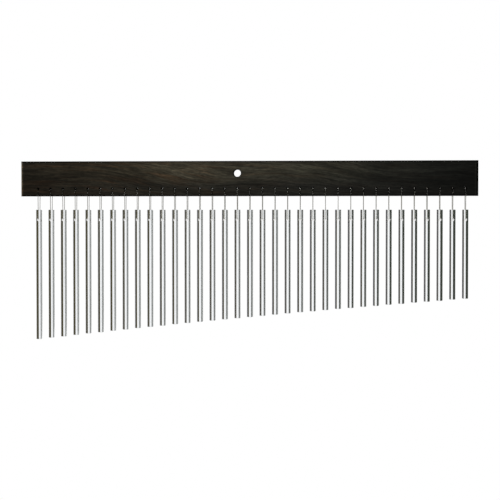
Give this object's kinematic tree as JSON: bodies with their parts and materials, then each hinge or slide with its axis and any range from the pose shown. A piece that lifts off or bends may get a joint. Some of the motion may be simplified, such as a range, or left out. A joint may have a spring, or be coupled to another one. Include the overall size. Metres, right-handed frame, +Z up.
{
  "type": "bar chimes",
  "caption": "Row of solid metal rods of graded length, each hung by a knotted loop of clear line from a dark hardwood bar with one mounting hole.",
  "frame": {"origin": "middle of the mounting hole, half way through the bar", "axes": "+X along the bar towards the short chimes, +Y through the bar to its back, +Z up"},
  "size_m": [0.728, 0.0202, 0.2855],
  "materials": {
    "stained_wood": "dark stain under a satin varnish",
    "aluminium": "polished",
    "clear_nylon": "clear, smooth"
  },
  "bodies": {
    "bar": {"bar": "stained_wood"},
    "chime_01": {"chime_01": "aluminium"},
    "chime_02": {"chime_02": "aluminium"},
    "chime_03": {"chime_03": "aluminium"},
    "chime_04": {"chime_04": "aluminium"},
    "chime_05": {"chime_05": "aluminium"},
    "chime_06": {"chime_06": "aluminium"},
    "chime_07": {"chime_07": "aluminium"},
    "chime_08": {"chime_08": "aluminium"},
    "chime_09": {"chime_09": "aluminium"},
    "chime_10": {"chime_10": "aluminium"},
    "chime_11": {"chime_11": "aluminium"},
    "chime_12": {"chime_12": "aluminium"},
    "chime_13": {"chime_13": "aluminium"},
    "chime_14": {"chime_14": "aluminium"},
    "chime_15": {"chime_15": "aluminium"},
    "chime_16": {"chime_16": "aluminium"},
    "chime_17": {"chime_17": "aluminium"},
    "chime_18": {"chime_18": "aluminium"},
    "chime_19": {"chime_19": "aluminium"},
    "chime_20": {"chime_20": "aluminium"},
    "chime_21": {"chime_21": "aluminium"},
    "chime_22": {"chime_22": "aluminium"},
    "chime_23": {"chime_23": "aluminium"},
    "chime_24": {"chime_24": "aluminium"},
    "chime_25": {"chime_25": "aluminium"},
    "chime_26": {"chime_26": "aluminium"},
    "chime_27": {"chime_27": "aluminium"},
    "chime_28": {"chime_28": "aluminium"},
    "chime_29": {"chime_29": "aluminium"},
    "chime_30": {"chime_30": "aluminium"},
    "chime_31": {"chime_31": "aluminium"},
    "chime_32": {"chime_32": "aluminium"},
    "chime_33": {"chime_33": "aluminium"},
    "chime_34": {"chime_34": "aluminium"},
    "chime_35": {"chime_35": "aluminium"}
  },
  "joints": [
    {"name": "swing_01", "type": "hinge", "parent": "bar", "child": "chime_01", "pos_m": [-0.32, 0, -0.0251], "axis": [0, -1, 0], "range_deg": [-45, 2.44]},
    {"name": "swing_02", "type": "hinge", "parent": "bar", "child": "chime_02", "pos_m": [-0.3, 0, -0.0251], "axis": [0, -1, 0], "range_deg": [-2.45, 2.47]},
    {"name": "swing_03", "type": "hinge", "parent": "bar", "child": "chime_03", "pos_m": [-0.28, 0, -0.0251], "axis": [0, -1, 0], "range_deg": [-2.47, 2.49]},
    {"name": "swing_04", "type": "hinge", "parent": "bar", "child": "chime_04", "pos_m": [-0.26, 0, -0.0251], "axis": [0, -1, 0], "range_deg": [-2.49, 2.52]},
    {"name": "swing_05", "type": "hinge", "parent": "bar", "child": "chime_05", "pos_m": [-0.24, 0, -0.0251], "axis": [0, -1, 0], "range_deg": [-2.52, 2.54]},
    {"name": "swing_06", "type": "hinge", "parent": "bar", "child": "chime_06", "pos_m": [-0.22, 0, -0.0251], "axis": [0, -1, 0], "range_deg": [-2.54, 2.57]},
    {"name": "swing_07", "type": "hinge", "parent": "bar", "child": "chime_07", "pos_m": [-0.2, 0, -0.0251], "axis": [0, -1, 0], "range_deg": [-2.57, 2.59]},
    {"name": "swing_08", "type": "hinge", "parent": "bar", "child": "chime_08", "pos_m": [-0.18, 0, -0.0251], "axis": [0, -1, 0], "range_deg": [-2.59, 2.62]},
    {"name": "swing_09", "type": "hinge", "parent": "bar", "child": "chime_09", "pos_m": [-0.16, 0, -0.0251], "axis": [0, -1, 0], "range_deg": [-2.62, 2.64]},
    {"name": "swing_10", "type": "hinge", "parent": "bar", "child": "chime_10", "pos_m": [-0.14, 0, -0.0251], "axis": [0, -1, 0], "range_deg": [-2.65, 2.67]},
    {"name": "swing_11", "type": "hinge", "parent": "bar", "child": "chime_11", "pos_m": [-0.12, 0, -0.0251], "axis": [0, -1, 0], "range_deg": [-2.67, 2.7]},
    {"name": "swing_12", "type": "hinge", "parent": "bar", "child": "chime_12", "pos_m": [-0.1, 0, -0.0251], "axis": [0, -1, 0], "range_deg": [-2.7, 2.73]},
    {"name": "swing_13", "type": "hinge", "parent": "bar", "child": "chime_13", "pos_m": [-0.08, 0, -0.0251], "axis": [0, -1, 0], "range_deg": [-2.73, 2.75]},
    {"name": "swing_14", "type": "hinge", "parent": "bar", "child": "chime_14", "pos_m": [-0.06, 0, -0.0251], "axis": [0, -1, 0], "range_deg": [-2.75, 2.78]},
    {"name": "swing_15", "type": "hinge", "parent": "bar", "child": "chime_15", "pos_m": [-0.04, 0, -0.0251], "axis": [0, -1, 0], "range_deg": [-2.78, 2.8]},
    {"name": "swing_16", "type": "hinge", "parent": "bar", "child": "chime_16", "pos_m": [-0.02, 0, -0.0251], "axis": [0, -1, 0], "range_deg": [-2.81, 2.83]},
    {"name": "swing_17", "type": "hinge", "parent": "bar", "child": "chime_17", "pos_m": [0, 0, -0.0251], "axis": [0, -1, 0], "range_deg": [-2.83, 2.86]},
    {"name": "swing_18", "type": "hinge", "parent": "bar", "child": "chime_18", "pos_m": [0.02, 0, -0.0251], "axis": [0, -1, 0], "range_deg": [-2.86, 2.89]},
    {"name": "swing_19", "type": "hinge", "parent": "bar", "child": "chime_19", "pos_m": [0.04, 0, -0.0251], "axis": [0, -1, 0], "range_deg": [-2.89, 2.92]},
    {"name": "swing_20", "type": "hinge", "parent": "bar", "child": "chime_20", "pos_m": [0.06, 0, -0.0251], "axis": [0, -1, 0], "range_deg": [-2.92, 2.95]},
    {"name": "swing_21", "type": "hinge", "parent": "bar", "child": "chime_21", "pos_m": [0.08, 0, -0.0251], "axis": [0, -1, 0], "range_deg": [-2.95, 2.98]},
    {"name": "swing_22", "type": "hinge", "parent": "bar", "child": "chime_22", "pos_m": [0.1, 0, -0.0251], "axis": [0, -1, 0], "range_deg": [-2.98, 3]},
    {"name": "swing_23", "type": "hinge", "parent": "bar", "child": "chime_23", "pos_m": [0.12, 0, -0.0251], "axis": [0, -1, 0], "range_deg": [-3, 3.03]},
    {"name": "swing_24", "type": "hinge", "parent": "bar", "child": "chime_24", "pos_m": [0.14, 0, -0.0251], "axis": [0, -1, 0], "range_deg": [-3.03, 3.06]},
    {"name": "swing_25", "type": "hinge", "parent": "bar", "child": "chime_25", "pos_m": [0.16, 0, -0.0251], "axis": [0, -1, 0], "range_deg": [-3.07, 3.09]},
    {"name": "swing_26", "type": "hinge", "parent": "bar", "child": "chime_26", "pos_m": [0.18, 0, -0.0251], "axis": [0, -1, 0], "range_deg": [-3.09, 3.12]},
    {"name": "swing_27", "type": "hinge", "parent": "bar", "child": "chime_27", "pos_m": [0.2, 0, -0.0251], "axis": [0, -1, 0], "range_deg": [-3.12, 3.14]},
    {"name": "swing_28", "type": "hinge", "parent": "bar", "child": "chime_28", "pos_m": [0.22, 0, -0.0251], "axis": [0, -1, 0], "range_deg": [-3.15, 3.18]},
    {"name": "swing_29", "type": "hinge", "parent": "bar", "child": "chime_29", "pos_m": [0.24, 0, -0.0251], "axis": [0, -1, 0], "range_deg": [-3.18, 3.2]},
    {"name": "swing_30", "type": "hinge", "parent": "bar", "child": "chime_30", "pos_m": [0.26, 0, -0.0251], "axis": [0, -1, 0], "range_deg": [-3.21, 3.24]},
    {"name": "swing_31", "type": "hinge", "parent": "bar", "child": "chime_31", "pos_m": [0.28, 0, -0.0251], "axis": [0, -1, 0], "range_deg": [-3.25, 3.27]},
    {"name": "swing_32", "type": "hinge", "parent": "bar", "child": "chime_32", "pos_m": [0.3, 0, -0.0251], "axis": [0, -1, 0], "range_deg": [-3.27, 3.3]},
    {"name": "swing_33", "type": "hinge", "parent": "bar", "child": "chime_33", "pos_m": [0.32, 0, -0.0251], "axis": [0, -1, 0], "range_deg": [-3.3, 3.33]},
    {"name": "swing_34", "type": "hinge", "parent": "bar", "child": "chime_34", "pos_m": [0.34, 0, -0.0251], "axis": [0, -1, 0], "range_deg": [-3.34, 3.36]},
    {"name": "swing_35", "type": "hinge", "parent": "bar", "child": "chime_35", "pos_m": [0.36, 0, -0.0251], "axis": [0, -1, 0], "range_deg": [-3.37, 45]}
  ]
}
